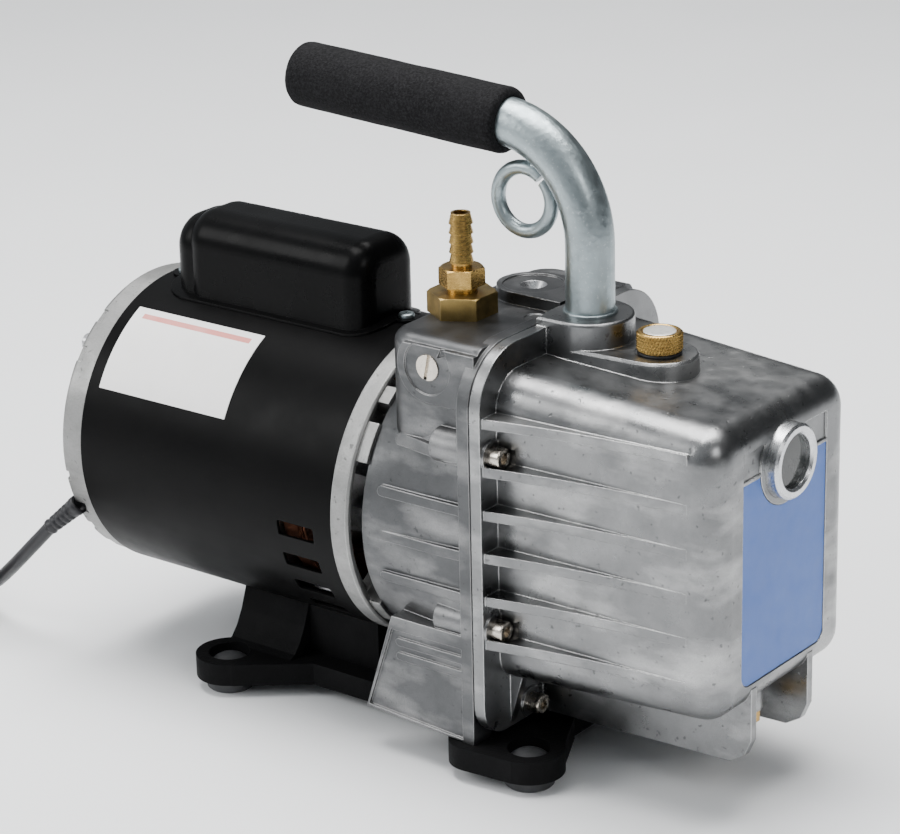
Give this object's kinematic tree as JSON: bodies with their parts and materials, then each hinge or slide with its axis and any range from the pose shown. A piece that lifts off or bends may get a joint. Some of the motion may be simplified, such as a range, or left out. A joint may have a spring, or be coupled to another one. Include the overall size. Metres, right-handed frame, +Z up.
{
  "type": "rotary vane vacuum pump",
  "caption": "Direct-drive rotary vane vacuum pump: motor, cast pump housing and finned oil reservoir with a tube handle that is also the exhaust.",
  "frame": {"origin": "on the bench under the middle of the pump, in the shaft's vertical plane", "axes": "+X along the shaft from the motor to the oil reservoir, +Z up, +Y completes the right-handed frame"},
  "size_m": [0.5346, 0.2156, 0.31],
  "materials": {
    "base_black": "matte cast, black",
    "foot_rubber": "matte",
    "motor_black": "satin black paint",
    "shield_cast": "rough die cast",
    "steel": "plain",
    "copper": "enamelled wire",
    "black_plastic": "matte",
    "cover_black": "semi-gloss black paint",
    "zinc": "zinc plated",
    "white_label": "printed film",
    "housing_cast": "dull die cast",
    "brass": "machined",
    "reservoir_cast": "bright die cast",
    "seal_rubber": "smooth",
    "screw_steel": "nickel plated",
    "blue_plate": "satin blue",
    "bezel_steel": "satin",
    "glass": "clear",
    "foam": "foam",
    "iron": "machined",
    "cord_black": "satin jacket",
    "vane_composite": "composite",
    "switch_plastic": "gloss black"
  },
  "bodies": {
    "pump": {"base_frame": "base_black", "rubber_feet": "foot_rubber", "motor_shell": "motor_black", "rear_end_shield": "shield_cast", "front_end_shield": "shield_cast", "motor_through_bolts": "steel", "stator_laminations": "steel", "stator_windings": "copper", "bearing_outer_races": "steel", "capacitor": "black_plastic", "capacitor_cover": "cover_black", "cover_screws": "zinc", "motor_sticker": "white_label", "pump_housing": "housing_cast", "intake_bushing": "brass", "hose_barb": "brass", "isolation_valve_plug": "steel", "oil_reservoir": "reservoir_cast", "reservoir_gasket": "seal_rubber", "reservoir_screws": "screw_steel", "name_plate": "blue_plate", "sight_glass_ring": "bezel_steel", "sight_glass_lens": "glass", "oil_drain_plug": "brass", "handle_tube": "zinc", "handle_collar": "zinc", "hang_ring": "zinc", "foam_grip": "foam", "first_stage_stator": "iron", "second_stage_stator": "iron", "cartridge_plates": "iron", "cartridge_bolts": "screw_steel", "exhaust_reed_stop": "steel", "shaft_seal": "seal_rubber", "oil_cap_o_ring": "seal_rubber", "switch_bezel": "black_plastic", "strain_relief": "cord_black", "power_cord": "cord_black", "cord_coil": "cord_black", "power_plug": "cord_black", "plug_blades": "brass"},
    "rotor_train": {"motor_shaft": "steel", "rotor_core": "steel", "cooling_fan": "black_plastic", "centrifugal_switch": "steel", "bearing_inner_races": "steel", "coupling_hubs": "steel", "coupling_spider": "seal_rubber", "pump_shaft": "steel", "stage_rotors": "iron", "vane_springs": "steel"},
    "ball_sets": {"bearing_balls": "steel"},
    "first_vane_near": {"first_vane_near": "vane_composite"},
    "first_vane_far": {"first_vane_far": "vane_composite"},
    "second_vane_near": {"second_vane_near": "vane_composite"},
    "second_vane_far": {"second_vane_far": "vane_composite"},
    "gas_ballast": {"gas_ballast_screw": "screw_steel"},
    "fill_cap": {"oil_fill_cap": "brass"},
    "rocker": {"start_switch": "switch_plastic"},
    "reed": {"exhaust_reed": "steel"}
  },
  "joints": [
    {"name": "rotor_spin", "type": "hinge", "parent": "pump", "child": "rotor_train", "pos_m": [0.0626, 0, 0.1096], "axis": [1, 0, 0], "continuous": true},
    {"name": "ball_orbit", "type": "hinge", "parent": "pump", "child": "ball_sets", "pos_m": [0.0626, 0, 0.1096], "axis": [1, 0, 0], "continuous": true},
    {"name": "first_near_slide", "type": "slide", "parent": "rotor_train", "child": "first_vane_near", "axis": [0, -1, 0], "range_m": [0, 0.0032]},
    {"name": "first_far_slide", "type": "slide", "parent": "rotor_train", "child": "first_vane_far", "axis": [0, 1, 0], "range_m": [0, 0.0032]},
    {"name": "second_near_slide", "type": "slide", "parent": "rotor_train", "child": "second_vane_near", "axis": [0, -1, 0], "range_m": [0, 0.0032]},
    {"name": "second_far_slide", "type": "slide", "parent": "rotor_train", "child": "second_vane_far", "axis": [0, 1, 0], "range_m": [0, 0.0032]},
    {"name": "gas_ballast_turn", "type": "hinge", "parent": "pump", "child": "gas_ballast", "pos_m": [0.0346, -0.0618, 0.1907], "axis": [0, -1, 0], "range_deg": [0, 90]},
    {"name": "cap_turn", "type": "hinge", "parent": "pump", "child": "fill_cap", "pos_m": [0.116, 0, 0.196], "axis": [0, 0, 1], "range_deg": [0, 1440]},
    {"name": "switch_tilt", "type": "hinge", "parent": "pump", "child": "rocker", "pos_m": [-0.1824, 0, 0.1575], "axis": [0, -1, 0], "range_deg": [0, 16]},
    {"name": "reed_lift", "type": "hinge", "parent": "pump", "child": "reed", "pos_m": [0.1071, -0.0138, 0.1457], "axis": [1, 0, 0], "range_deg": [0, 8], "stiffness_Nm_per_rad": 0.002}
  ],
  "couplings": [
    {"joint": "ball_orbit", "follows": "rotor_spin", "ratio": 0.3982}
  ]
}
